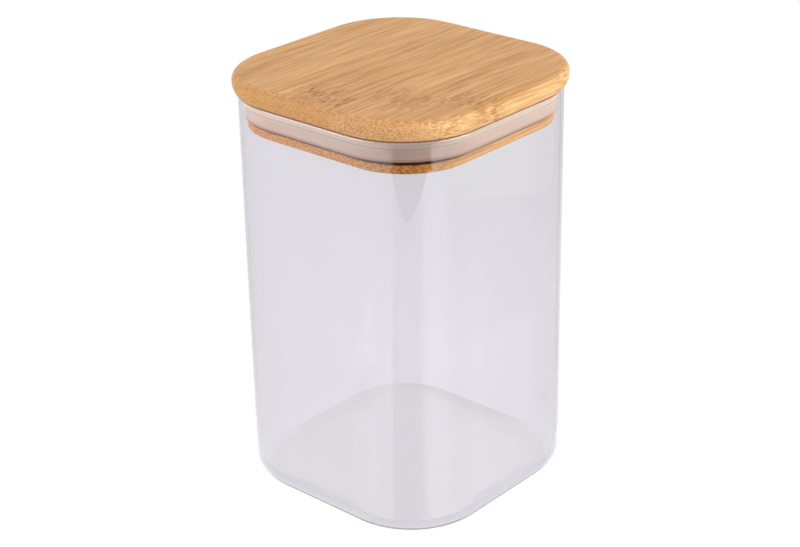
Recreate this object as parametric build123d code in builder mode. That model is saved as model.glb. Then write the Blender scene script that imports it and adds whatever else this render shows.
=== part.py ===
from build123d import *
import os

# Square glass canister with a bamboo plug lid, in millimetres, +Z up.
# The origin is the middle of the base, on the table. The sides face X and Y, and the bamboo runs along Y.

# Glass jar
glass_width = 100.0
glass_height = 151.5
glass_corner_radius = 31.0
glass_wall = 2.0
glass_floor = 3.2
base_edge_radius = 7.2
inside_edge_radius = 5.2
rim_round = 0.7

# Plate of the lid
plate_overhang = 1.3
plate_thickness = 7.5
plate_top_round = 3.0
plate_under_radius = 6.5
plate_widest_height = 4.3

# Plug under the plate, with a groove for the seal above its lip
lip_clearance = 2.0
lip_corner_tighter = 4.2
lip_height = 3.7
lip_upper_round = 0.5
lip_lower_round = 0.9
groove_height = 8.8
groove_depth = 3.0

# Silicone seal ring, whose two lips reach out from its band and stand up flat along the glass
seal_seat_clearance = 0.05
seal_end_gap = 0.9
seal_band = 1.4
seal_upper_lip_height = 3.2
seal_lip_root = 1.3
seal_lip_rise = 0.1
seal_lip_tip = 0.7
seal_lip_round = 0.12
seal_lip_drop = 0.1
seal_glass_clearance = 0.15
quarter_turn = 90

# Bamboo strips of each ply: the outer two are cut where the ply ends, and equal whole ones lie between them
plate_strip_count = 5
plate_left_strip = 17.4
plate_right_strip = 15.4
core_strip_count = 4
core_left_strip = 20.4
core_right_strip = 18.8
lip_strip_count = 5
lip_left_strip = 10.2
lip_right_strip = 11.6

# Sizes that follow
inner_width = glass_width - 2 * glass_wall
inner_corner_radius = glass_corner_radius - glass_wall
rim_fillet = min(rim_round, 0.4 * glass_wall)
top_fillet = min(plate_top_round, 0.4 * plate_thickness)
widest_height = min(plate_widest_height, 0.58 * plate_thickness)
under_cut = max(plate_under_radius - widest_height, 0)
plate_width = glass_width + 2 * plate_overhang
lip_width = inner_width - 2 * lip_clearance
lip_corner_radius = inner_corner_radius - lip_corner_tighter
core_width = lip_width - 2 * groove_depth
core_corner_radius = inner_corner_radius - lip_clearance - groove_depth
plug_depth = groove_height + lip_height
ply_depth = plug_depth / 2
seal_height = groove_height - seal_end_gap
seal_levels = (0, -seal_upper_lip_height, -seal_height)
seal_reach = lip_clearance + groove_depth - seal_glass_clearance - seal_seat_clearance


def export_strips(ply, name, width, count, left_strip, right_strip, bottom, height):
    """Cuts a ply into its strips along Y, from left to right, and writes each one."""
    whole_strip = (width - left_strip - right_strip) / (count - 2)
    seams = [left_strip - width / 2 + k * whole_strip for k in range(count - 1)]
    edges = [-width / 2] + seams + [width / 2]
    for number, (left, right) in enumerate(zip(edges[:-1], edges[1:]), 1):
        with BuildPart() as strip:
            add(ply.part)
            with BuildSketch(Plane.XY.offset(bottom)):
                with Locations(((left + right) / 2, 0)):
                    Rectangle(right - left, width)
            extrude(amount=height, mode=Mode.INTERSECT)
        strip.part.label = f"{name}_{number}"
        export_step(strip.part, f"parts/{name}_{number}.step")


os.makedirs("parts", exist_ok=True)

# Glass: a rounded square, hollowed from the top, with a round edge at the base and a fire-polished rim
with BuildPart() as jar_body:
    with BuildSketch():
        RectangleRounded(glass_width, glass_width, glass_corner_radius)
    extrude(amount=glass_height)
    base_face = jar_body.faces().sort_by(Axis.Z)[0]
    fillet(base_face.outer_wire().edges(), base_edge_radius)
    with BuildSketch(Plane.XY.offset(glass_floor)):
        RectangleRounded(inner_width, inner_width, inner_corner_radius)
    extrude(amount=glass_height - glass_floor, mode=Mode.SUBTRACT)
    floor_face = jar_body.faces().filter_by(Axis.Z).group_by(Axis.Z)[1][0]
    fillet(floor_face.outer_wire().edges(), inside_edge_radius)
    rim_face = jar_body.faces().sort_by(Axis.Z)[-1]
    fillet(rim_face.edges(), rim_fillet)
jar_body.part.label = "jar_body"
export_step(jar_body.part, "parts/jar_body.step")

# Plate: its edge is rounded over at the top, and below its widest line it draws in to the rim
with BuildPart() as plate:
    with BuildSketch(Plane.XY.offset(glass_height - under_cut)):
        RectangleRounded(plate_width, plate_width, glass_corner_radius)
    extrude(amount=plate_thickness + under_cut)
    fillet(plate.faces().sort_by(Axis.Z)[-1].edges(), top_fillet)
    fillet(plate.faces().sort_by(Axis.Z)[0].edges(), plate_under_radius)
    split(bisect_by=Plane.XY.offset(glass_height), keep=Keep.TOP)
export_strips(
    plate,
    "lid_plate_strip",
    plate_width,
    plate_strip_count,
    plate_left_strip,
    plate_right_strip,
    glass_height,
    plate_thickness,
)

# Core of the plug: the ply behind the seal
with BuildPart() as core:
    with BuildSketch(Plane.XY.offset(glass_height - ply_depth)):
        RectangleRounded(core_width, core_width, core_corner_radius)
    extrude(amount=ply_depth)
export_strips(
    core,
    "plug_core_strip",
    core_width,
    core_strip_count,
    core_left_strip,
    core_right_strip,
    glass_height - ply_depth,
    ply_depth,
)

# Lip of the plug: the ply that closes the groove from below
with BuildPart() as lip:
    with BuildSketch(Plane.XY.offset(glass_height - plug_depth)):
        RectangleRounded(lip_width, lip_width, lip_corner_radius)
    extrude(amount=lip_height)
    fillet(lip.faces().sort_by(Axis.Z)[0].edges(), lip_lower_round)
    fillet(lip.faces().sort_by(Axis.Z)[-1].edges(), lip_upper_round)
    with BuildSketch(Plane.XY.offset(glass_height - groove_height)):
        RectangleRounded(core_width, core_width, core_corner_radius)
    extrude(amount=groove_height - ply_depth)
export_strips(
    lip,
    "plug_lip_strip",
    lip_width,
    lip_strip_count,
    lip_left_strip,
    lip_right_strip,
    glass_height - plug_depth,
    ply_depth,
)

# Seal: one section swept round the core
with BuildPart() as seal_ring:
    half = core_width / 2 + seal_seat_clearance
    corner = core_corner_radius + seal_seat_clearance
    with BuildLine(Plane.XY.offset(glass_height)) as seat:
        side = Line((half, 0), (half, half - corner))
        for halves in (2, 2, 2, 1):
            turn = JernArc(side @ 1, side % 1, radius=corner, arc_size=quarter_turn)
            side = Line(turn @ 1, turn @ 1 + (turn % 1) * halves * (half - corner))
    section_plane = Plane(origin=(half, 0, glass_height), x_dir=(1, 0, 0), z_dir=(0, -1, 0))
    with BuildSketch(section_plane) as section:
        with Locations((seal_band / 2, -seal_height / 2)):
            Rectangle(seal_band, seal_height)
        for level, root in zip(seal_levels[:-1], seal_levels[1:]):
            top = level - seal_lip_drop
            with BuildLine():
                Polyline(
                    (0, root),
                    (seal_band, root),
                    (seal_reach, root + seal_lip_rise),
                    (seal_reach, top),
                    (seal_reach - seal_lip_tip, top),
                    (seal_band, root + seal_lip_root),
                    (0, root + seal_lip_root),
                    close=True,
                )
            make_face()
        fillet(section.vertices().group_by(Axis.X)[-1], seal_lip_round)
    sweep(path=seat.wire())
seal_ring.part.label = "seal_ring"
export_step(seal_ring.part, "parts/seal_ring.step")
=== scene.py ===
"""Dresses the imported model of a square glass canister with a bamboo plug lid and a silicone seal.

Lengths are metres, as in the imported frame, unless a name or a docstring says millimetres.
"""

import logging
import math
from dataclasses import dataclass, field
from enum import Enum
from typing import Any

import bpy
from mathutils import Matrix, Vector

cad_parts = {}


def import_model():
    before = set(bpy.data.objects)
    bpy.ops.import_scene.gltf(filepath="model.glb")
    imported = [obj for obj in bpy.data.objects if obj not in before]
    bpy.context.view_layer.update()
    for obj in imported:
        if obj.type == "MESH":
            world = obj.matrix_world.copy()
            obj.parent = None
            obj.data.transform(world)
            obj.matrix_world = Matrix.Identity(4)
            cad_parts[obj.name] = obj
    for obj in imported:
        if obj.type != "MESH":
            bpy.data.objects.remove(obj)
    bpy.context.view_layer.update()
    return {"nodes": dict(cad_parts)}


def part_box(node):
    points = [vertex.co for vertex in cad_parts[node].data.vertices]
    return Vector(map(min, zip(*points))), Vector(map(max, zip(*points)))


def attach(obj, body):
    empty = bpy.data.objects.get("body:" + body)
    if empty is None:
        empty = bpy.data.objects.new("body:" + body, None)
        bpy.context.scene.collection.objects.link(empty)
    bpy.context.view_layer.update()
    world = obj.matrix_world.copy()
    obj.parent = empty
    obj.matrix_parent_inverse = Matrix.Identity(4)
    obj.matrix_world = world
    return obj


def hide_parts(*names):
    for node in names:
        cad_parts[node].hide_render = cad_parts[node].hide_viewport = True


MM = 0.001
WHITE = (1.0, 1.0, 1.0, 1.0)
LOG = logging.getLogger("canister")

Colour = tuple[float, float, float]  # light, as a shader takes it
Shade = tuple[int, int, int]  # a picture's levels, from 0 to 255
Triple = tuple[float, float, float]  # one value for each axis
Span = tuple[float, float]  # where a change starts and where it ends


def heading(azimuth: float, elevation: float) -> Vector:
    """Points from the object to a place around it.

    Args:
        azimuth: Degrees from the front, -Y, towards the right, +X.
        elevation: Degrees above the table.

    Returns:
        The direction, of length 1.
    """
    turn, tip = math.radians(azimuth), math.radians(elevation)
    return Vector((math.sin(turn) * math.cos(tip), -math.cos(turn) * math.cos(tip), math.sin(tip)))


def paint(red: int, green: int, blue: int) -> tuple[float, float, float, float]:
    """Turns a colour as a picture writes it into the linear one that a shader takes.

    Args:
        red: Red from 0 to 255.
        green: Green from 0 to 255.
        blue: Blue from 0 to 255.

    Returns:
        The linear colour, with an alpha of 1.
    """

    def linear(level: float) -> float:
        """Undoes the picture's curve for one channel."""
        return level / 12.92 if level <= 0.04045 else ((level + 0.055) / 1.055) ** 2.4

    return (linear(red / 255), linear(green / 255), linear(blue / 255), 1.0)


class Signal:
    """A number on a node's socket. Arithmetic on it adds Math nodes."""

    def __init__(self, sheet: "Sheet", socket: bpy.types.NodeSocket) -> None:
        """Keeps the socket and the sheet of nodes that it lies on."""
        self.sheet = sheet
        self.socket = socket

    def math(self, operation: str, *values: Any) -> "Signal":
        """Adds one Math node.

        Args:
            operation: The Math node's operation.
            values: Its inputs in order, numbers or signals. Without any, its input is this signal.

        Returns:
            The node's result.
        """
        inputs = dict(enumerate(values or (self,)))
        node = self.sheet.node("ShaderNodeMath", {"operation": operation}, inputs)
        return Signal(self.sheet, node.outputs[0])

    def __add__(self, other: Any) -> "Signal":
        """Adds."""
        return self.math("ADD", self, other)

    def __sub__(self, other: Any) -> "Signal":
        """Subtracts."""
        return self.math("SUBTRACT", self, other)

    def __rsub__(self, other: Any) -> "Signal":
        """Subtracts this signal from a number."""
        return self.math("SUBTRACT", other, self)

    def __mul__(self, other: Any) -> "Signal":
        """Multiplies."""
        return self.math("MULTIPLY", self, other)

    def __abs__(self) -> "Signal":
        """Drops the sign."""
        return self.math("ABSOLUTE", self)

    def larger(self, other: Any) -> "Signal":
        """Takes the larger of this signal and another value."""
        return self.math("MAXIMUM", self, other)

    def ease(self, start: float, end: float) -> "Signal":
        """Rises smoothly from 0 at start to 1 at end, which may lie below start."""
        node = self.sheet.node(
            "ShaderNodeMapRange",
            {"interpolation_type": "SMOOTHSTEP"},
            {"Value": self, "From Min": start, "From Max": end},
        )
        return Signal(self.sheet, node.outputs["Result"])


class Sheet:
    """A node tree on which nodes are laid down by type."""

    def __init__(self, tree: bpy.types.NodeTree) -> None:
        """Keeps the tree."""
        self.tree = tree

    def node(
        self,
        kind: str,
        settings: dict[str, Any] | None = None,
        inputs: dict[str | int, Any] | None = None,
    ) -> bpy.types.Node:
        """Adds one node.

        Args:
            kind: The node's type name.
            settings: Its properties, which are set first. The key stops fills a colour ramp, and items
                gives the number of an index switch's items.
            inputs: Values, sockets or signals for its inputs, by name or number.

        Returns:
            The node.
        """
        node = self.tree.nodes.new(kind)
        for name, value in (settings or {}).items():
            if name == "stops":
                self._fill_ramp(node, value)
            elif name == "items":
                while len(node.index_switch_items) < value:
                    node.index_switch_items.new()
            else:
                setattr(node, name, value)
        for key, value in (inputs or {}).items():
            if isinstance(value, Signal):
                self.tree.links.new(value.socket, node.inputs[key])
            elif isinstance(value, bpy.types.NodeSocket):
                self.tree.links.new(value, node.inputs[key])
            else:
                node.inputs[key].default_value = value
        return node

    @staticmethod
    def _fill_ramp(node: bpy.types.Node, stops: list[tuple[float, Any]]) -> None:
        """Gives a colour ramp its stops.

        Args:
            node: The ramp's node.
            stops: Its stops, each a position and a colour.
        """
        elements = node.color_ramp.elements
        while len(elements) < len(stops):
            elements.new(0.5)
        for element, (position, colour) in zip(elements, stops):
            element.position = position
            element.color = colour

    def signal(self, node: bpy.types.Node, output: str | int = 0) -> Signal:
        """Wraps one of a node's outputs."""
        return Signal(self, node.outputs[output])


class MaterialSheet(Sheet):
    """The nodes of one material."""

    def __init__(self, name: str) -> None:
        """Starts a material with an empty node tree.

        Args:
            name: The material's name.
        """
        self.material = bpy.data.materials.new(name)
        self.material.use_nodes = True
        super().__init__(self.material.node_tree)
        self.tree.nodes.clear()

    def place(self) -> bpy.types.NodeSocket:
        """Gives the object's own coordinates, in millimetres."""
        spot = self.node("ShaderNodeTexCoord").outputs["Object"]
        return self.vector("SCALE", spot, Scale=1 / MM)

    def facing(self) -> tuple[Signal, Signal, Signal]:
        """Gives the surface's direction, in parts."""
        return self.parts(self.node("ShaderNodeTexCoord").outputs["Normal"])

    def vector(self, operation: str, *values: Any, **named: Any) -> bpy.types.NodeSocket:
        """Adds one Vector Math node and gives its vector."""
        inputs = {**dict(enumerate(values)), **named}
        return self.node("ShaderNodeVectorMath", {"operation": operation}, inputs).outputs[0]

    def parts(self, vector: bpy.types.NodeSocket) -> tuple[Signal, Signal, Signal]:
        """Parts a vector into its three numbers."""
        node = self.node("ShaderNodeSeparateXYZ", inputs={0: vector})
        return self.signal(node, 0), self.signal(node, 1), self.signal(node, 2)

    def noise(
        self, spot: bpy.types.NodeSocket, size: Triple, detail: float = 0.0, roughness: float = 0.5
    ) -> bpy.types.Node:
        """Adds a Noise Texture.

        Args:
            spot: Where it is read, in millimetres.
            size: How long its lumps are along each axis, in millimetres.
            detail: How many finer layers it has.
            roughness: How strong those are.

        Returns:
            The node, with its Factor and Color outputs.
        """
        grid = self.vector("DIVIDE", spot, size)
        inputs = {"Vector": grid, "Scale": 1.0, "Detail": detail, "Roughness": roughness}
        return self.node("ShaderNodeTexNoise", {"noise_dimensions": "3D"}, inputs)

    def cells(self, spot: bpy.types.NodeSocket, size: Triple) -> bpy.types.Node:
        """Adds a Voronoi Texture whose cells have that size in millimetres."""
        grid = self.vector("DIVIDE", spot, size)
        return self.node("ShaderNodeTexVoronoi", {"feature": "F1"}, {"Vector": grid, "Scale": 1.0})

    def shift(
        self, spot: bpy.types.NodeSocket, push: bpy.types.NodeSocket, reach: Any
    ) -> bpy.types.NodeSocket:
        """Moves a reading point by a noise colour.

        Args:
            spot: The point.
            push: A noise colour, whose middle is 0.5.
            reach: How far it moves at most along each axis, in millimetres.

        Returns:
            The moved point.
        """
        centred = self.vector("SUBTRACT", push, (0.5, 0.5, 0.5))
        return self.vector("MULTIPLY_ADD", centred, reach, spot)

    def blend(self, share: Any, first: Any, second: Any, mode: str = "MIX") -> bpy.types.NodeSocket:
        """Mixes two colours.

        Args:
            share: How much of the second, from 0 to 1.
            first: The colour at 0.
            second: The colour at 1.
            mode: The mix node's blend type.

        Returns:
            The mixed colour.
        """
        settings = {"data_type": "RGBA", "blend_type": mode}
        return self.node("ShaderNodeMix", settings, {0: share, 6: first, 7: second}).outputs[2]

    def tones(self, level: Any, *stops: tuple[float, Any]) -> bpy.types.NodeSocket:
        """Reads a colour ramp at a level."""
        node = self.node("ShaderNodeValToRGB", {"stops": list(stops)}, {0: level})
        return node.outputs["Color"]

    def relief(self, height: Any, depth: float) -> bpy.types.NodeSocket:
        """Adds a Bump node at full strength.

        Args:
            height: The height from 0 to 1.
            depth: How high 1 stands, in metres.

        Returns:
            The bent normal.
        """
        inputs = {"Strength": 1.0, "Distance": depth, "Height": height}
        return self.node("ShaderNodeBump", inputs=inputs).outputs[0]

    def shine(self, inputs: dict[str | int, Any]) -> bpy.types.Node:
        """Adds the main surface shader."""
        return self.node("ShaderNodeBsdfPrincipled", inputs=inputs)

    def close(self, surface: bpy.types.Node, volume: bpy.types.Node | None = None) -> bpy.types.Material:
        """Wires the shaders to the output.

        Args:
            surface: The surface shader.
            volume: The volume shader, if the material has one.

        Returns:
            The finished material.
        """
        inputs = {"Surface": surface.outputs[0]}
        if volume:
            inputs["Volume"] = volume.outputs[0]
        self.node("ShaderNodeOutputMaterial", inputs=inputs)
        return self.material


class GeometrySheet(Sheet):
    """A Geometry Nodes tree with named inputs."""

    def __init__(self, name: str, sizes: dict[str, float | int]) -> None:
        """Starts a tree whose inputs are those sizes and a material.

        Args:
            name: The tree's name.
            sizes: The inputs by name. A whole number makes a whole-number input.
        """
        super().__init__(bpy.data.node_groups.new(name, "GeometryNodeTree"))
        face = self.tree.interface
        face.new_socket("Geometry", in_out="OUTPUT", socket_type="NodeSocketGeometry")
        self.keys: dict[str, str] = {}
        for title, value in sizes.items():
            kind = "NodeSocketInt" if isinstance(value, int) else "NodeSocketFloat"
            self.keys[title] = face.new_socket(title, in_out="INPUT", socket_type=kind).identifier
        material = face.new_socket("Material", in_out="INPUT", socket_type="NodeSocketMaterial")
        self.keys["Material"] = material.identifier
        self.sizes = sizes
        self.source = self.node("NodeGroupInput")

    def size(self, title: str) -> Signal:
        """Gives one of the tree's inputs."""
        return self.signal(self.source, title)

    def corner(self, x: Any, y: Any) -> bpy.types.NodeSocket:
        """Makes a point in the XY plane."""
        return self.node("ShaderNodeCombineXYZ", inputs={0: x, 1: y}).outputs[0]

    def finish(self, mesh: bpy.types.NodeSocket) -> None:
        """Ends the tree in Realize Instances and Set Material.

        Args:
            mesh: The finished mesh.
        """
        real = self.node("GeometryNodeRealizeInstances", inputs={0: mesh})
        inputs = {"Geometry": real.outputs[0], "Material": self.source.outputs["Material"]}
        painted = self.node("GeometryNodeSetMaterial", inputs=inputs)
        self.node("NodeGroupOutput", inputs={0: painted.outputs[0]})

    def make(self, name: str, material: bpy.types.Material) -> bpy.types.Object:
        """Runs the tree and keeps its result as a plain mesh.

        Args:
            name: The new object's name.
            material: The material that Set Material gives.

        Returns:
            The object, at the origin, with no modifiers.
        """
        carrier = bpy.data.objects.new(name, bpy.data.meshes.new(name + "_seed"))
        bpy.context.scene.collection.objects.link(carrier)
        modifier = carrier.modifiers.new("tree", "NODES")
        modifier.node_group = self.tree
        for title, value in self.sizes.items():
            modifier[self.keys[title]] = value
        modifier[self.keys["Material"]] = material
        carrier.modifiers.new("even", "WEIGHTED_NORMAL").keep_sharp = False
        graph = bpy.context.evaluated_depsgraph_get()
        mesh = bpy.data.meshes.new_from_object(carrier.evaluated_get(graph), depsgraph=graph)
        mesh.name = name
        carrier.modifiers.clear()
        carrier.data = mesh
        return carrier


@dataclass(frozen=True)
class ClearGlass:
    """Thin clear glass, whose outer side has a faint violet-grey tint and a bright skin, with a deeper foot.

    The outer side is where the squared distance from a rounded core passes core_reach, in square millimetres.
    Seen from inside, the base's round goes without its skin, from base_edge up to base_shoulder. The floor's
    far edge has a soft dim ring of painted shade, which stands in for the refraction at the thick inner round;
    it is placed by how far a point lies past the core's round. Other lengths are millimetres.
    """

    tint: Shade = (217, 213, 222)
    foot_tint: Shade = (208, 205, 212)
    # painted shade: the colour of the dim ring on the floor's far edge
    painted_bend_shade: Shade = (224, 224, 222)
    depth_tint: Shade = (206, 210, 204)
    density: float = 14.0
    bend: float = 1.02
    skin_bend: float = 1.8
    cloud_size: Triple = (30.0, 30.0, 45.0)
    cloud_edge: Span = (0.35, 0.65)
    cloud_lift: int = 2
    core_side: float = 19.0
    core_round: float = 23.8
    core_floor: float = 8.0
    core_reach: Span = (38.0, 42.0)
    foot_height: Span = (0.8, 0.1)
    base_shoulder: Span = (9.8, 8.6)
    base_edge: Span = (0.5, 1.2)
    floor_top: Span = (5.0, 4.6)
    far_side: Span = (10.0, 40.0)
    ring_inner: Span = (-6.5, 1.6)
    ring_outer: Span = (2.5, 2.0)
    ring_right: Span = (36.0, 43.0)
    ring_least: float = 0.6

    def material(self) -> bpy.types.Material:
        """Builds the glass material.

        Returns:
            The material.
        """
        sheet = MaterialSheet("clear_glass")
        spot = sheet.place()
        x, y, z = sheet.parts(spot)
        cloud = sheet.signal(sheet.noise(spot, self.cloud_size, 2.0), "Fac")
        low = paint(*self.tint)
        high = paint(*(min(255, level + self.cloud_lift) for level in self.tint))
        colour = sheet.blend(cloud.ease(*self.cloud_edge), low, high)
        colour = sheet.blend(z.ease(*self.foot_height), colour, paint(*self.foot_tint))
        across, deep = (abs(x) - self.core_side).larger(0.0), (abs(y) - self.core_side).larger(0.0)
        brink = (across * across + deep * deep).math("SQRT") - self.core_round
        beside, below = brink.larger(0.0), (self.core_floor - z).larger(0.0)
        outer = (beside * beside + below * below).ease(*self.core_reach)
        from_inside = sheet.signal(sheet.node("ShaderNodeNewGeometry"), "Backfacing")
        skin = outer * (1 - from_inside * z.ease(*self.base_shoulder) * z.ease(*self.base_edge))
        # Painted shade: a dim ring on the floor's far edge, seen from inside, stands in for refraction at the
        # thick inner round.
        far_floor = z.ease(*self.floor_top) * (y - x).ease(*self.far_side) * (1 - from_inside)
        ring = brink.ease(*self.ring_inner) * brink.ease(*self.ring_outer)
        fade = y.ease(*self.ring_right) * (1 - self.ring_least) + self.ring_least
        inside = sheet.blend(ring * far_floor * fade, WHITE, paint(*self.painted_bend_shade))
        colour = sheet.blend(outer, inside, colour)
        surface = sheet.shine(
            {
                "Base Color": colour,
                "Roughness": 0.0,
                "IOR": self.bend,
                "Transmission Weight": 1.0,
                "Coat Weight": skin,
                "Coat Roughness": 0.0,
                "Coat IOR": self.skin_bend,
            }
        )
        volume = sheet.node(
            "ShaderNodeVolumeAbsorption",
            inputs={"Color": paint(*self.depth_tint), "Density": self.density},
        )
        return sheet.close(surface, volume)


@dataclass(frozen=True)
class MilkySilicone:
    """Soft silicone, milky and a little pink, with a satin skin and a thinner, paler upper lip.

    The upper lip's paler colour is painted light, and the seal's foot is darker by painted shade from the
    groove. Heights and sizes are millimetres, and the skin's depth and the scatter's reach are metres.
    """

    pale: Shade = (211, 187, 169)
    warm: Shade = (205, 178, 160)
    # painted light: a paler colour on the seal's upper lip, above the height on the next line
    painted_light_upper: Shade = (228, 203, 182)
    painted_light_from: Span = (147.6, 148.2)
    # painted shade: a darker colour towards the seal's foot, where it sits in the groove
    shade: Shade = (140, 104, 78)
    painted_shade_from: Span = (145.2, 143.7)
    painted_shade_share: float = 0.7
    cloud_size: Triple = (9.0, 9.0, 3.0)
    cloud_edge: Span = (0.3, 0.7)
    skin_size: Triple = (0.5, 0.5, 0.5)
    skin_depth: float = 0.00002
    roughness: float = 0.34
    roughness_change: float = 0.12
    scatter: Triple = (1.0, 0.75, 0.65)
    scatter_reach: float = 0.0025

    def material(self) -> bpy.types.Material:
        """Builds the silicone material.

        Returns:
            The material.
        """
        sheet = MaterialSheet("milky_silicone")
        spot = sheet.place()
        height = sheet.parts(spot)[2]
        cloud = sheet.signal(sheet.noise(spot, self.cloud_size, 2.0), "Fac")
        skin = sheet.signal(sheet.noise(spot, self.skin_size, 2.0), "Fac")
        colour = sheet.blend(cloud.ease(*self.cloud_edge), paint(*self.warm), paint(*self.pale))
        # Painted light: the upper lip is painted paler than the rest of the seal.
        colour = sheet.blend(height.ease(*self.painted_light_from), colour, paint(*self.painted_light_upper))
        # Painted shade: the seal darkens towards its foot, in the groove.
        painted_shade = height.ease(*self.painted_shade_from) * self.painted_shade_share
        surface = sheet.shine(
            {
                "Base Color": sheet.blend(painted_shade, colour, paint(*self.shade)),
                "Roughness": skin * self.roughness_change + self.roughness,
                "Subsurface Weight": 1.0,
                "Subsurface Radius": self.scatter,
                "Subsurface Scale": self.scatter_reach,
                "Normal": sheet.relief(skin, self.skin_depth),
            }
        )
        return sheet.close(surface)


class Ply(Enum):
    """The three plies that the lid is glued from, by the name of their strips."""

    PLATE = "lid_plate_strip"
    CORE = "plug_core_strip"
    LIP = "plug_lip_strip"


@dataclass(frozen=True)
class Knuckle:
    """A joint of the culm, where the fibres swirl and short dark dashes show. Lengths are millimetres."""

    middle: float
    half_length: float
    darkness: float
    slant: float = 0.0


@dataclass(frozen=True)
class BambooCut:
    """How one strip was cut from the culm."""

    number: int
    shade: float = 0.0
    dots: float = 0.5
    rosy: float = 0.0
    ember: float = 0.0
    knuckle: Knuckle | None = None


@dataclass(frozen=True)
class Bamboo:
    """Steamed bamboo: fibre bundles that run along Y, seen as streaks from the side and as dots from the end.

    Sizes, reaches, heights and places are millimetres, and the relief's depth is metres. An edge is where a
    texture's value, or a surface's turn, goes over from one look to the next.
    """

    pale: Shade = (234, 184, 126)
    middle: Shade = (216, 158, 96)
    deep: Shade = (190, 128, 68)
    bundle: Shade = (166, 103, 49)
    end_ground: Shade = (218, 160, 96)
    end_rosy: Shade = (222, 168, 114)
    end_dot: Shade = (244, 206, 154)
    # the flanks' paler side grain, partly painted light that brightens the sides
    flank_grain_and_light: Shade = (250, 211, 150)
    ember: Shade = (241, 221, 172)
    scorch: Shade = (160, 94, 26)
    # painted shade: darkens the plate's lower edge and the plug inside the seal's groove
    painted_crevice_shade: Shade = (140, 96, 62)

    ply_seed: int = 7
    seed_step: Triple = (137.0, 411.0, 59.0)
    sway_size: Triple = (60.0, 240.0, 60.0)
    sway_reach: Triple = (7.0, 0.0, 7.0)
    bundle_size: Triple = (0.55, 46.0, 0.55)
    lip_bundle_size: Triple = (0.7, 46.0, 0.7)
    hair_size: Triple = (0.66, 30.0, 0.42)
    band_size: Triple = (1.9, 110.0, 1.1)
    broad_size: Triple = (8.0, 260.0, 8.0)
    pore_size: Triple = (0.9, 22.0, 0.6)

    grain_shares: Triple = (0.68, 0.2, 0.12)
    grain_stops: Triple = (0.36, 0.49, 0.62)
    pore_edge: Span = (0.45, 0.1)
    calm_edge: Span = (0.62, 0.38)
    streak_share: float = 0.34
    side_turn: Span = (0.35, 0.8)
    bright_edge: Span = (0.42, 0.6)
    bright_share: float = 0.5
    flank_light_share: float = 0.14
    end_turn: Span = (0.4, 0.75)
    dusk_edge: Span = (0.7, 0.3)
    dusk_share: float = 0.3
    dot_edge: Span = (0.5, 0.26)
    gap_edge: Span = (0.55, 0.75)

    swirl_shares: Span = (1.8, 0.2)
    churn_size: Triple = (5.0, 9.0, 5.0)
    churn_reach: Triple = (2.6, 6.0, 2.6)
    dash_size: Triple = (1.0, 4.6, 1.0)
    dash_edge: Span = (0.6, 0.25)
    patch_size: Triple = (4.0, 6.0, 4.0)
    patch_edge: Span = (0.34, 0.48)
    haze_share: float = 0.14

    seam_reach: Span = (0.3, 0.05)
    seam_share: float = 0.15
    marked_seam: float = -30.0
    marked_share: float = 0.4
    # painted shade heights: the plug's edge by the groove, and the plate's foot
    groove_shade_edge: Span = (141.9, 142.6)
    plate_foot_shade: Span = (152.5, 151.7)
    roughness: float = 0.44
    roughness_change: float = 0.16
    gloss: float = 0.3
    relief_shares: Triple = (0.5, 0.5, 0.6)
    relief_depth: float = 0.00006

    def material(self, ply: Ply, cut: BambooCut, seams: tuple[float, ...]) -> bpy.types.Material:
        """Builds the material of one strip.

        Args:
            ply: The ply it belongs to.
            cut: How the strip was cut.
            seams: The X of its glue lines, in millimetres.

        Returns:
            The strip's material.
        """
        sheet = MaterialSheet(f"bamboo_{ply.value}_{cut.number}")
        here = sheet.place()
        x, y, z = sheet.parts(here)
        seed = cut.number + self.ply_seed * list(Ply).index(ply)
        spot = sheet.vector("ADD", here, tuple(step * seed for step in self.seed_step))
        sway = sheet.noise(spot, self.sway_size, 1.0).outputs["Color"]
        fibre = sheet.shift(spot, sway, self.sway_reach)
        mark: Signal | None = None
        if cut.knuckle:
            swirl = self.swirl(x, y, cut.knuckle)
            fibre = self.churned(sheet, spot, fibre, swirl)
            mark = self.dashes(sheet, spot) * swirl * cut.knuckle.darkness
        size = self.lip_bundle_size if ply is Ply.LIP else self.bundle_size
        core = sheet.signal(sheet.cells(fibre, size), "Distance")
        hair = sheet.signal(sheet.noise(fibre, self.hair_size, 2.0, 0.6), "Fac")
        band = sheet.signal(sheet.noise(fibre, self.band_size, 2.0, 0.55), "Fac")
        broad = sheet.signal(sheet.noise(fibre, self.broad_size, 1.0), "Fac")
        pore = sheet.signal(sheet.cells(fibre, self.pore_size), "Distance")
        streak = pore.ease(*self.pore_edge) * band.ease(*self.calm_edge)
        fine, wide, widest = self.grain_shares
        level = hair * fine + band * wide + broad * widest + cut.shade
        dot = core.ease(*self.dot_edge)
        nx, ny, _ = sheet.facing()
        end = abs(ny).ease(*self.end_turn)
        long_grain = self.long_grain(sheet, level, streak, hair, abs(nx).ease(*self.side_turn))
        colour = sheet.blend(end, long_grain, self.end_grain(sheet, core, dot, band, cut))
        colour = sheet.blend(cut.ember, colour, paint(*self.ember), "MULTIPLY")
        if mark:
            colour = sheet.blend(mark, colour, paint(*self.scorch))
        for seam in seams:
            share = self.marked_share if seam < self.marked_seam else self.seam_share
            colour = sheet.blend(abs(x - seam).ease(*self.seam_reach) * share, colour, paint(*self.scorch))
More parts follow.
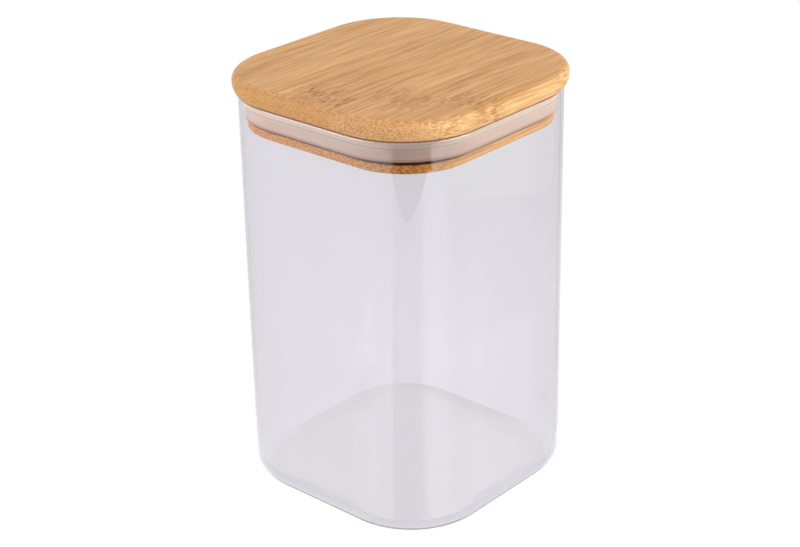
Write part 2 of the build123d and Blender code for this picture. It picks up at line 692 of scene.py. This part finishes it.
        # Painted shade: the plate's lower edge over the seal, and the plug's core and upper lip in the seal's
        # groove, are darkened.
        painted_crevice_shade = z.ease(*(self.plate_foot_shade if ply is Ply.PLATE else self.groove_shade_edge))
        colour = sheet.blend(painted_crevice_shade, colour, paint(*self.painted_crevice_shade), "MULTIPLY")
        hair_share, streak_share, dot_share = self.relief_shares
        height = hair * hair_share - streak * streak_share - dot * end * dot_share
        surface = sheet.shine(
            {
                "Base Color": colour,
                "Roughness": hair * self.roughness_change + self.roughness,
                "Specular IOR Level": self.gloss,
                "Normal": sheet.relief(height, self.relief_depth),
            }
        )
        return sheet.close(surface)

    def swirl(self, x: Signal, y: Signal, knuckle: Knuckle) -> Signal:
        """Marks where the fibres swirl round a knuckle, from 0 to 1."""
        start, end = (knuckle.half_length * share for share in self.swirl_shares)
        return abs(y - knuckle.middle - x * knuckle.slant).ease(start, end)

    def churned(
        self,
        sheet: MaterialSheet,
        spot: bpy.types.NodeSocket,
        fibre: bpy.types.NodeSocket,
        swirl: Signal,
    ) -> bpy.types.NodeSocket:
        """Swirls the fibres' reading point at a knuckle.

        Args:
            sheet: The strip's sheet.
            spot: The strip's own place.
            fibre: The reading point.
            swirl: How much they swirl, from 0 to 1.

        Returns:
            The moved point.
        """
        churn = sheet.noise(spot, self.churn_size, 1.0).outputs["Color"]
        reach = {axis: swirl * far for axis, far in enumerate(self.churn_reach)}
        return sheet.shift(fibre, churn, sheet.node("ShaderNodeCombineXYZ", inputs=reach).outputs[0])

    def dashes(self, sheet: MaterialSheet, spot: bpy.types.NodeSocket) -> Signal:
        """Marks a knuckle's short dark dashes, in patches, over a faint haze.

        Args:
            sheet: The strip's sheet.
            spot: The strip's own place.

        Returns:
            How dark the marks are.
        """
        dash = sheet.signal(sheet.cells(spot, self.dash_size), "Distance")
        patch = sheet.signal(sheet.noise(spot, self.patch_size, 1.0), "Fac")
        return dash.ease(*self.dash_edge) * patch.ease(*self.patch_edge) + self.haze_share

    def long_grain(
        self, sheet: MaterialSheet, level: Signal, streak: Signal, hair: Signal, side: Signal
    ) -> bpy.types.NodeSocket:
        """Colours the top and the flanks, where the bundles show as streaks; the flanks' paler colour is partly
        painted light.

        Args:
            sheet: The strip's sheet.
            level: How pale the grain is.
            streak: Where a dark bundle shows.
            hair: The finest grain.
            side: Where the surface faces sideways.

        Returns:
            The colour.
        """
        tones = (paint(*self.deep), paint(*self.middle), paint(*self.pale))
        grain = sheet.tones(level, *zip(self.grain_stops, tones))
        grain = sheet.blend(streak * self.streak_share, grain, paint(*self.bundle))
        # The flanks take paler streaks of side grain, partly brightened as painted light for the lamp-lit side.
        bright_line = hair.ease(*self.bright_edge) * self.bright_share + self.flank_light_share
        return sheet.blend(side, grain, sheet.blend(bright_line, grain, paint(*self.flank_grain_and_light)))

    def end_grain(
        self, sheet: MaterialSheet, core: Signal, dot: Signal, band: Signal, cut: BambooCut
    ) -> bpy.types.NodeSocket:
        """Colours the ends, where the bundles show as dots.

        Args:
            sheet: The strip's sheet.
            core: How far a point is from its bundle's middle.
            dot: Where a bundle's pale middle shows.
            band: The broader grain.
            cut: How the strip was cut.

        Returns:
            The colour.
        """
        ground = sheet.blend(cut.rosy, paint(*self.end_ground), paint(*self.end_rosy))
        ground = sheet.blend(band.ease(*self.dusk_edge) * self.dusk_share, ground, paint(*self.deep))
        grain = sheet.blend(core.ease(*self.gap_edge) * cut.dots, ground, paint(*self.bundle))
        return sheet.blend(dot * cut.dots, grain, paint(*self.end_dot))


@dataclass
class Jar:
    """The glass, swept by its wall's outline round a rounded square. Sizes are millimetres."""

    width: float = 100.0
    height: float = 151.5
    corner_radius: float = 31.0
    wall: float = 2.0
    floor: float = 3.2
    base_round: float = 7.2
    inside_round: float = 5.2
    rim_round: float = 0.7
    flat_margin: float = 0.8
    weld_gap: float = 0.005
    corner_steps: int = 40
    round_steps: int = 12
    finish: ClearGlass = field(default_factory=ClearGlass)

    def sizes(self) -> dict[str, float | int]:
        """Lists the tree's inputs.

        Returns:
            The inputs by name, as lengths in metres and as counts.
        """
        lengths = {
            "Width": self.width,
            "Height": self.height,
            "Corner Radius": self.corner_radius,
            "Wall": self.wall,
            "Floor": self.floor,
            "Base Round": self.base_round,
            "Inside Round": self.inside_round,
            "Rim Round": self.rim_round,
            "Flat Margin": self.flat_margin,
        }
        counts = {"Corner Steps": self.corner_steps, "Round Steps": self.round_steps}
        return {**{name: value * MM for name, value in lengths.items()}, **counts}

    @staticmethod
    def outline(sheet: GeometrySheet, reach: Signal) -> bpy.types.NodeSocket:
        """Draws the wall's outline, with a round at each of its corners.

        Args:
            sheet: The tree.
            reach: How far the outline stands out from the path that it is swept along.

        Returns:
            The outline as a curve.
        """
        size = sheet.size
        inner = reach - size("Wall")
        # The sweep turns an outline's +Y down, so heights are written below zero.
        rim, bottom = size("Height") * -1, size("Floor") * -1
        corners = [
            sheet.corner(0.0, 0.0),
            sheet.corner(reach, 0.0),
            sheet.corner(reach, rim),
            sheet.corner(inner, rim),
            sheet.corner(inner, bottom),
            sheet.corner(0.0, bottom),
        ]
        rounds = [0.0, size("Base Round"), size("Rim Round"), size("Rim Round"), size("Inside Round"), 0.0]
        index = sheet.node("GeometryNodeInputIndex").outputs[0]
        count = len(corners)
        spot = sheet.node(
            "GeometryNodeIndexSwitch",
            {"data_type": "VECTOR", "items": count},
            {0: index, **{k + 1: corner for k, corner in enumerate(corners)}},
        )
        radius = sheet.node(
            "GeometryNodeIndexSwitch",
            {"data_type": "FLOAT", "items": count},
            {0: index, **{k + 1: value for k, value in enumerate(rounds)}},
        )
        line = sheet.node("GeometryNodeMeshLine", {"mode": "OFFSET"}, {"Count": count})
        bent = sheet.node("GeometryNodeSetPosition", inputs={0: line.outputs[0], "Position": spot.outputs[0]})
        sharp = sheet.node("GeometryNodeMeshToCurve", inputs={0: bent.outputs[0]})
        return sheet.node(
            "GeometryNodeFilletCurve",
            {"mode": "POLY"},
            {0: sharp.outputs[0], "Count": size("Round Steps"), "Radius": radius.outputs[0]},
        ).outputs[0]

    def tree(self) -> GeometrySheet:
        """Lays down the Geometry Nodes that make the glass.

        Returns:
            The tree, whose inputs are the glass's sizes.
        """
        sheet = GeometrySheet("glass_wall", self.sizes())
        size = sheet.size
        reach = size("Base Round") + size("Flat Margin")
        side = size("Width") - reach * 2
        square = sheet.node("GeometryNodeCurvePrimitiveQuadrilateral", inputs={"Width": side, "Height": side})
        path = sheet.node(
            "GeometryNodeFilletCurve",
            {"mode": "POLY"},
            {0: square.outputs[0], "Count": size("Corner Steps"), "Radius": size("Corner Radius") - reach},
        ).outputs[0]
        outline = self.outline(sheet, reach)
        swept = sheet.node("GeometryNodeCurveToMesh", inputs={0: path, 1: outline}).outputs[0]
        wall = sheet.node("GeometryNodeFlipFaces", inputs={0: swept}).outputs[0]
        disc = sheet.node("GeometryNodeFillCurve", {"mode": "NGONS"}, {0: path}).outputs[0]
        under = sheet.node("GeometryNodeFlipFaces", inputs={0: disc}).outputs[0]
        rise = sheet.node("ShaderNodeCombineXYZ", inputs={2: size("Floor")}).outputs[0]
        inside = sheet.node("GeometryNodeTransform", inputs={0: disc, "Translation": rise}).outputs[0]
        joined = sheet.node("GeometryNodeJoinGeometry")
        for part in (wall, under, inside):
            sheet.tree.links.new(part, joined.inputs[0])
        weld = {0: joined.outputs[0], "Distance": self.weld_gap * MM}
        sealed = sheet.node("GeometryNodeMergeByDistance", inputs=weld)
        smooth = sheet.node("GeometryNodeSetShadeSmooth", inputs={0: sealed.outputs[0]})
        sheet.finish(smooth.outputs[0])
        return sheet

    def build(self) -> None:
        """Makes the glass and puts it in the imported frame."""
        glass = self.tree().make("jar_glass", self.finish.material())
        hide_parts("jar_body")
        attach(glass, "jar")
        LOG.info("%s: %d faces, replaces jar_body", glass.name, len(glass.data.polygons))


@dataclass
class Lid:
    """The lid's bamboo strips and its seal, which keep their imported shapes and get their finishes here."""

    bamboo: Bamboo = field(default_factory=Bamboo)
    silicone: MilkySilicone = field(default_factory=MilkySilicone)
    cuts: dict[Ply, tuple[BambooCut, ...]] = field(
        default_factory=lambda: {
            Ply.PLATE: (
                BambooCut(1, -0.005, 0.25),
                BambooCut(2, 0.01, 0.3),
                BambooCut(3, 0.0, 0.3, 0.1, 0.0, Knuckle(-41.0, 6.5, 1.0)),
                BambooCut(4, 0.01, 0.45, 0.8, 0.0, Knuckle(-29.0, 7.0, 0.55, 0.1)),
                BambooCut(5, -0.005, 0.4, 0.8, 0.0, Knuckle(-23.0, 7.0, 0.6, 0.2)),
            ),
            Ply.CORE: tuple(BambooCut(k, -0.01, 0.4) for k in (1, 2, 3, 4)),
            Ply.LIP: tuple(BambooCut(k, -0.015, 0.72, 0.0, 1.0) for k in (1, 2, 3, 4, 5)),
        }
    )

    def seams(self, ply: Ply) -> tuple[float, ...]:
        """Finds the X of a ply's glue lines from its packed strips, in millimetres."""
        return tuple(
            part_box(f"{ply.value}_{cut.number}")[0].x / MM for cut in self.cuts[ply] if cut.number > 1
        )

    def build(self, nodes: dict[str, bpy.types.Object]) -> None:
        """Dresses the strips and the seal.

        Args:
            nodes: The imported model's objects by name.
        """
        for ply, cuts in self.cuts.items():
            seams = self.seams(ply)
            for cut in cuts:
                strip = nodes[f"{ply.value}_{cut.number}"]
                low, high = (corner.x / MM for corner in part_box(strip.name))
                near = tuple(s for s in seams if low - 0.5 < s < high + 0.5)
                self.dress(strip, self.bamboo.material(ply, cut, near))
        self.dress(nodes["seal_ring"], self.silicone.material())

    @staticmethod
    def dress(part: bpy.types.Object, material: bpy.types.Material) -> None:
        """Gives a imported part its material.

        Args:
            part: The part's object.
            material: The material.
        """
        part.material_slots[0].material = material
        LOG.info("%s: dressed in %s", part.name, material.name)


@dataclass(frozen=True)
class Viewpoint:
    """Where the photograph was taken from. Angles are degrees, and lengths are millimetres."""

    azimuth: float = 41.842
    elevation: float = 24.774
    distance: float = 687.28
    roll: float = -1.1295
    aim_right: float = -1.719
    aim_height: float = 77.987
    lens: float = 83.45
    sensor: float = 36.0
    nearest: float = 10.0
    farthest: float = 50000.0

    def axes(self) -> tuple[Vector, Vector, Vector]:
        """Works out the camera's axes.

        Returns:
            Its right, its up and the direction behind it.
        """
        roll = math.radians(self.roll)
        back = heading(self.azimuth, self.elevation)
        level = back.cross(Vector((0, 0, -1))).normalized()
        upright = level.cross(-back)
        right = level * math.cos(roll) + upright * math.sin(roll)
        up = upright * math.cos(roll) - level * math.sin(roll)
        return right, up, back

    def place(self) -> Vector:
        """Works out where the camera stands.

        Returns:
            Its place, in metres.
        """
        right, _, back = self.axes()
        aim = right * self.aim_right + Vector((0, 0, self.aim_height))
        return (aim + back * self.distance) * MM

    def build(self) -> None:
        """Makes the camera and puts it to use."""
        data = bpy.data.cameras.new("camera")
        data.lens = self.lens
        data.sensor_width = self.sensor
        data.clip_start = self.nearest * MM
        data.clip_end = self.farthest * MM
        camera = bpy.data.objects.new("camera", data)
        bpy.context.scene.collection.objects.link(camera)
        turn = Matrix(self.axes()).transposed()
        camera.matrix_world = Matrix.Translation(self.place()) @ turn.to_4x4()
        bpy.context.scene.camera = camera


@dataclass(frozen=True)
class Row:
    """One height of a card, with its glow at stops from left to right. Lengths are millimetres.

    A stop's place runs round the glass from the middle of its front corner, with the right as plus.
    """

    height: float
    stops: tuple[tuple[float, float], ...]


@dataclass(frozen=True)
class Card:
    """A card that shows as a patch on the glass, by the patch's rows. Lengths are millimetres.

    Its slope is how much its rows drop on the way to the right, for each millimetre.
    """

    name: str
    rows: tuple[Row, ...]
    colour: Colour = (1.0, 1.0, 1.0)
    bow: float = 1.0
    bottom_round: float = 0.0
    slope: float = 0.0
    nearer: float = 0.0


@dataclass(frozen=True)
class Lamp:
    """A square soft lamp that faces the object. Lengths are metres."""

    name: str
    azimuth: float
    elevation: float
    distance: float
    size: float
    watts: float


@dataclass(frozen=True)
class FootCard:
    """A card that lies under the glass. It reaches so far past the glass and lies so deep, in millimetres."""

    name: str
    reach: float
    drop: float
    glow: Colour


@dataclass
class Studio:
    """A white table, soft lamps, and the cards whose reflections model the glass.

    Lengths are metres, but the table's grain is millimetres. inside is the strength of the light that matt
    pieces in the jar take in through the glass.
    """

    view: Viewpoint
    jar: Jar
    ring: float = 1.0
    steps: int = 12
    floor_size: float = 6.0
    table_gap: float = 0.00005
    table_white: float = 0.93
    table_glow: float = 1.03
    table_pale: tuple[Shade, Shade] = ((236, 236, 236), (240, 240, 240))
    table_grain: Triple = (40.0, 40.0, 40.0)
    inside: float = 1.9
    sky_white: float = 1.0
    sky_soft: float = 0.45
    sky_gloss: float = 1.3
    flag_ring: float = 0.22
    flag_foot: float = 0.001
    flag_height: float = 0.6
    flag_azimuth: float = 45.0
    flag_spread: float = 25.0
    lamp_aim: float = 0.1
    lamps: tuple[Lamp, ...] = (
        Lamp("key", 105.0, 21.0, 1.3, 0.9, 11.5),
        Lamp("fill", -25.0, 22.0, 1.5, 1.0, 9.5),
        Lamp("top", 60.0, 80.0, 1.3, 1.0, 0.8),
    )
    foot_cards: tuple[FootCard, ...] = (
        FootCard("card_foot", -2.2, 1.0, (0.13, 0.11, 0.0)),
        FootCard("card_apron", 14.0, 2.0, (1.1, 1.08, 1.14)),
    )
    cards: tuple[Card, ...] = (
        Card(
            "card_left",
            (
                Row(
                    -20.0,
                    ((-86.2, 0.9), (-74.0, 1.15), (-58.0, 1.65), (-20.0, 1.4), (-15.5, 1.6), (-10.2, 1.85)),
                ),
                Row(
                    75.0,
                    ((-86.2, 0.95), (-74.0, 0.95), (-60.0, 1.3), (-20.0, 1.5), (-13.5, 1.75), (-8.8, 1.9)),
                ),
                Row(
                    130.0,
                    ((-86.2, 1.0), (-74.0, 0.9), (-60.0, 1.2), (-20.0, 1.3), (-12.0, 1.25), (-7.6, 1.05)),
                ),
                Row(
                    175.0,
                    ((-86.2, 0.95), (-74.0, 0.8), (-60.0, 0.95), (-20.0, 0.85), (-12.0, 1.05), (-7.4, 0.95)),
                ),
            ),
        ),
        Card(
            "card_middle",
            (
                Row(-20.0, ((-10.2, 1.85), (-8.9, 1.05), (1.5, 1.1), (4.2, 2.0))),
                Row(75.0, ((-8.8, 1.9), (-7.4, 1.25), (0.8, 1.35), (3.4, 2.0))),
                Row(141.5, ((-7.5, 1.05), (-5.4, 0.75), (2.4, 0.8), (4.4, 1.4))),
            ),
        ),
        Card(
            "card_dark",
            (
                Row(141.5, ((-7.5, 1.05), (-6.2, 0.02), (5.6, 0.02), (6.6, 1.25))),
                Row(175.0, ((-7.4, 0.95), (-6.0, 0.02), (5.8, 0.02), (6.8, 1.2))),
            ),
            nearer=0.01,
        ),
        Card(
            "card_right",
            (
                Row(
                    -20.0,
                    ((4.2, 2.0), (7.5, 1.95), (11.0, 1.9), (14.5, 1.6), (30.0, 1.6), (60.0, 1.4), (82.2, 0.7)),
                ),
                Row(
                    75.0,
                    ((3.4, 2.0), (7.2, 2.1), (10.4, 1.95), (14.5, 1.65), (30.0, 1.35), (60.0, 1.1), (82.2, 0.9)),
                ),
                Row(
                    130.0,
                    ((4.2, 1.4), (8.5, 1.55), (11.0, 1.45), (14.5, 1.1), (30.0, 0.95), (60.0, 0.75), (82.2, 0.8)),
                ),
                Row(
                    175.0,
                    ((6.8, 1.2), (9.0, 1.2), (11.8, 1.2), (13.0, 0.8), (30.0, 0.8), (60.0, 0.7), (82.2, 0.7)),
                ),
            ),
        ),
        Card(
            "card_tongue",
            (Row(123.0, ((-2.4, 0.23), (-2.4, 0.23))), Row(141.5, ((-7.2, 0.05), (5.0, 0.05)))),
            bow=0.6,
            nearer=0.02,
        ),
        Card(
            "card_window",
            (
                Row(130.5, ((10.8, 1.3), (28.0, 1.27), (45.0, 1.2), (68.0, 0.95))),
                Row(175.0, ((10.8, 1.3), (28.0, 1.27), (45.0, 1.2), (68.0, 0.95))),
            ),
            colour=(1.0, 1.03, 0.84),
            bottom_round=11.0,
            slope=0.26,
            nearer=0.04,
        ),
    )

    def ring_point(self, along: float, height: float, ring: float) -> Vector:
        """Follows the camera's line to a point of the glass and off it, out to the ring of cards.

        Args:
            along: Where the point is round the glass, in millimetres.
            height: How high it is, in millimetres.
            ring: The ring's radius, in metres.

        Returns:
            Where the line meets the ring.
        """
        half, radius = self.jar.width / 2, self.jar.corner_radius
        middle = half - radius
        quarter = radius * math.pi / 4
        distance, sign = abs(along), (1 if along >= 0 else -1)
        if distance <= quarter:
            angle = math.pi / 4 + along / radius
            centre = (middle, -middle)
        elif distance <= quarter + 2 * middle:
            slide = distance - quarter
            angle = math.pi / 2 if sign > 0 else 0.0
            centre = (middle, slide - middle) if sign > 0 else (middle - slide, -middle)
        else:
            turn = (distance - quarter - 2 * middle) / radius
            angle = math.pi / 2 + turn if sign > 0 else -turn
            centre = (middle, middle) if sign > 0 else (-middle, -middle)
        normal = Vector((math.sin(angle), -math.cos(angle), 0.0))
        point = (Vector((*centre, height)) + normal * radius) * MM
        line = (point - self.view.place()).normalized()
        line -= 2 * line.dot(normal) * normal
        flat = line.xy.length_squared
        half_b = point.xy.dot(line.xy)
        reach = (math.sqrt(half_b**2 - flat * (point.xy.length_squared - ring**2)) - half_b) / flat
        return point + line * reach

    def glowing(self) -> bpy.types.Material:
        """Builds the cards' material.

        Returns:
            A material that glows as strongly as each point of a card says.
        """
        sheet = MaterialSheet("studio_card")
        glow = sheet.node("ShaderNodeAttribute", {"attribute_name": "glow"})
        lamp = sheet.node("ShaderNodeEmission", inputs={0: glow.outputs["Color"], 1: 1.0})
        return sheet.close(lamp)

    def hang(self, card: Card, material: bpy.types.Material) -> None:
        """Hangs one card on the ring, where only reflections see it.

        Args:
            card: The card.
            material: The cards' material.
        """
        points, glows, faces = [], [], []
        bottom = card.rows[0].height
        width = (len(card.rows[0].stops) - 1) * self.steps + 1
        for low, high in zip(card.rows[:-1], card.rows[1:]):
            for step in range(self.steps + (high is card.rows[-1])):
                up = step / self.steps
                height = low.height + (high.height - low.height) * up
                rise = max(0.0, bottom + card.bottom_round - height)
                inset = card.bottom_round - math.sqrt(card.bottom_round**2 - rise**2)
                stops = [
                    (a[0] + (b[0] - a[0]) * up**card.bow, a[1] + (b[1] - a[1]) * up)
                    for a, b in zip(low.stops, high.stops)
                ]
                left, right = stops[0][0], stops[-1][0]
                for column in range(width):
                    k, part = divmod(column, self.steps)
                    first, second = stops[k], stops[min(k + 1, len(stops) - 1)]
                    along = first[0] + (second[0] - first[0]) * part / self.steps
                    level = first[1] + (second[1] - first[1]) * part / self.steps
                    along = max(left + inset, min(right - inset, along))
                    drop = card.slope * (along - left)
                    points.append(self.ring_point(along, height - drop, self.ring - card.nearer))
                    glows.extend([*(level * share for share in card.colour), 1.0])
        for k in range(len(points) - width):
            if (k + 1) % width:
                faces.append((k, k + 1, k + width + 1, k + width))
        mesh = bpy.data.meshes.new(card.name)
        mesh.from_pydata(points, [], faces)
        mesh.attributes.new("glow", "FLOAT_COLOR", "POINT").data.foreach_set("color", glows)
        mesh.materials.append(material)
        self.stand(card.name, mesh).visible_transmission = False

    @staticmethod
    def stand(name: str, mesh: bpy.types.Mesh) -> bpy.types.Object:
        """Puts a mesh of the studio in the scene, hidden from the camera and from matt surfaces.

        Args:
            name: The object's name.
            mesh: Its mesh.

        Returns:
            The object.
        """
        thing = bpy.data.objects.new(name, mesh)
        bpy.context.scene.collection.objects.link(thing)
        thing.visible_camera = False
        thing.visible_diffuse = False
        thing.visible_shadow = False
        thing.visible_volume_scatter = False
        return thing

    def lay(self, foot_card: FootCard) -> None:
        """Lays a card under the glass, which only the round of its base reflects.

        Args:
            foot_card: The card.
        """
        sheet = MaterialSheet(f"studio_{foot_card.name}")
        lamp = sheet.node("ShaderNodeEmission", inputs={0: (*foot_card.glow, 1.0), 1: 1.0})
        middle = self.jar.width / 2 - self.jar.corner_radius
        radius = self.jar.corner_radius + foot_card.reach
        points = []
        for right, back in ((1, 1), (-1, 1), (-1, -1), (1, -1)):
            for step in range(self.steps + 1):
                turn = math.pi / 2 * step / self.steps + math.atan2(back, right) - math.pi / 4
                x, y = middle * right + math.cos(turn) * radius, middle * back + math.sin(turn) * radius
                points.append((x * MM, y * MM, -foot_card.drop * MM))
        mesh = bpy.data.meshes.new(foot_card.name)
        mesh.from_pydata(points, [], [tuple(range(len(points)))])
        mesh.materials.append(sheet.close(lamp))
        self.stand(foot_card.name, mesh).visible_transmission = False

    def flag(self) -> None:
        """Stands a black flag by the front corner, which shades only what lies behind the glass."""
        sheet = MaterialSheet("studio_flag")
        seen = sheet.node("ShaderNodeLightPath")
        clear = sheet.node("ShaderNodeBsdfTransparent")
        black = sheet.node("ShaderNodeEmission", inputs={1: 0.0})
        inputs = {0: self.let_in(sheet, seen), 1: clear.outputs[0], 2: black.outputs[0]}
        mix = sheet.node("ShaderNodeMixShader", inputs=inputs)
        points, faces = [], []
        for column in range(self.steps + 1):
            turn = math.radians(self.flag_azimuth + self.flag_spread * (2 * column / self.steps - 1))
            place = (math.sin(turn) * self.flag_ring, -math.cos(turn) * self.flag_ring)
            points.extend([(*place, self.flag_foot), (*place, self.flag_height)])
        for k in range(0, 2 * self.steps, 2):
            faces.append((k, k + 2, k + 3, k + 1))
        mesh = bpy.data.meshes.new("flag")
        mesh.from_pydata(points, [], faces)
        mesh.materials.append(sheet.close(mix))
        self.stand("flag", mesh).visible_glossy = False

    @staticmethod
    def let_in(sheet: Sheet, seen: bpy.types.Node) -> Signal:
        """Marks the light that matt pieces behind the glass take in through it.

        Args:
            sheet: The node tree.
            seen: Its Light Path node.

        Returns:
            1 for that light, and 0 for all other.
        """
        depth = sheet.signal(seen, "Diffuse Depth")
        return depth.math("GREATER_THAN", depth, 0.5) * sheet.signal(seen, "Is Transmission Ray")

    def table(self) -> None:
        """Makes the pale table, white to the camera and through glass, with the object's soft shadow."""
        sheet = MaterialSheet("table")
        grain = sheet.signal(sheet.noise(sheet.place(), self.table_grain, 2.0), "Fac")
        pale = sheet.blend(grain, *(paint(*shade) for shade in self.table_pale))
        matt = sheet.node("ShaderNodeBsdfDiffuse", inputs={"Color": pale})
        seen = sheet.node("ShaderNodeLightPath")
        glow = self.let_in(sheet, seen) * (self.inside - self.table_glow) + self.table_glow
        white = sheet.node("ShaderNodeEmission", inputs={0: WHITE, 1: glow})
        direct = sheet.signal(seen, "Is Camera Ray").larger(sheet.signal(seen, "Is Transmission Ray"))
        direct = direct.larger(sheet.signal(seen, "Is Glossy Ray"))
        inputs = {0: direct * self.table_white, 1: matt.outputs[0], 2: white.outputs[0]}
        mix = sheet.node("ShaderNodeMixShader", inputs=inputs)
        half = self.floor_size / 2
        mesh = bpy.data.meshes.new("table")
        mesh.from_pydata(
            [(x * half, y * half, -self.table_gap) for x, y in ((-1, -1), (1, -1), (1, 1), (-1, 1))],
            [],
            [(0, 1, 2, 3)],
        )
        mesh.materials.append(sheet.close(mix))
        table = bpy.data.objects.new("table", mesh)
        bpy.context.scene.collection.objects.link(table)
        table.visible_glossy = False

    def light(self, lamp: Lamp) -> None:
        """Hangs one lamp.

        Args:
            lamp: The lamp.
        """
        data = bpy.data.lights.new(lamp.name, "AREA")
        data.shape = "SQUARE"
        data.size = lamp.size
        data.energy = lamp.watts
        hung = bpy.data.objects.new(lamp.name, data)
        bpy.context.scene.collection.objects.link(hung)
        way = heading(lamp.azimuth, lamp.elevation)
        hung.location = way * lamp.distance + Vector((0, 0, self.lamp_aim))
        hung.rotation_euler = way.to_track_quat("Z", "Y").to_euler()
        hung.visible_camera = False

    def sky(self) -> None:
        """Sets the world's light, which differs to the camera, on matt surfaces and in reflections."""
        world = bpy.data.worlds.new("studio")
        bpy.context.scene.world = world
        world.use_nodes = True
        sheet = Sheet(world.node_tree)
        sheet.tree.nodes.clear()
        seen = sheet.node("ShaderNodeLightPath")
        camera, glossy = (sheet.signal(seen, f"Is {kind} Ray") for kind in ("Camera", "Glossy"))
        through = sheet.signal(seen, "Is Transmission Ray")
        direct = camera.larger(through)
        mirrored = glossy * (1 - direct)
        soft = self.sky_soft
        strength = direct * (self.sky_white - soft) + mirrored * (self.sky_gloss - soft) + soft
        strength = strength + self.let_in(sheet, seen) * (self.inside - self.sky_white)
        background = sheet.node("ShaderNodeBackground", inputs={0: WHITE, 1: strength})
        sheet.node("ShaderNodeOutputWorld", inputs={0: background.outputs[0]})

    def build(self) -> None:
        """Sets up the table, the cards, the lamps and the world."""
        bpy.context.scene.view_settings.view_transform = "Standard"
        self.table()
        material = self.glowing()
        for card in self.cards:
            self.hang(card, material)
        for foot_card in self.foot_cards:
            self.lay(foot_card)
        self.flag()
        for lamp in self.lamps:
            self.light(lamp)
        self.sky()
        LOG.info("studio: %d cards and %d lamps", len(self.cards) + len(self.foot_cards), len(self.lamps))


def main() -> None:
    """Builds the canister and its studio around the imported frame."""
    logging.basicConfig(level=logging.INFO, format="%(name)s: %(message)s")
    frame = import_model()
    jar = Jar()
    view = Viewpoint()
    view.build()
    Studio(view, jar).build()
    jar.build()
    Lid().build(frame["nodes"])


if __name__ == "__main__":
    main()
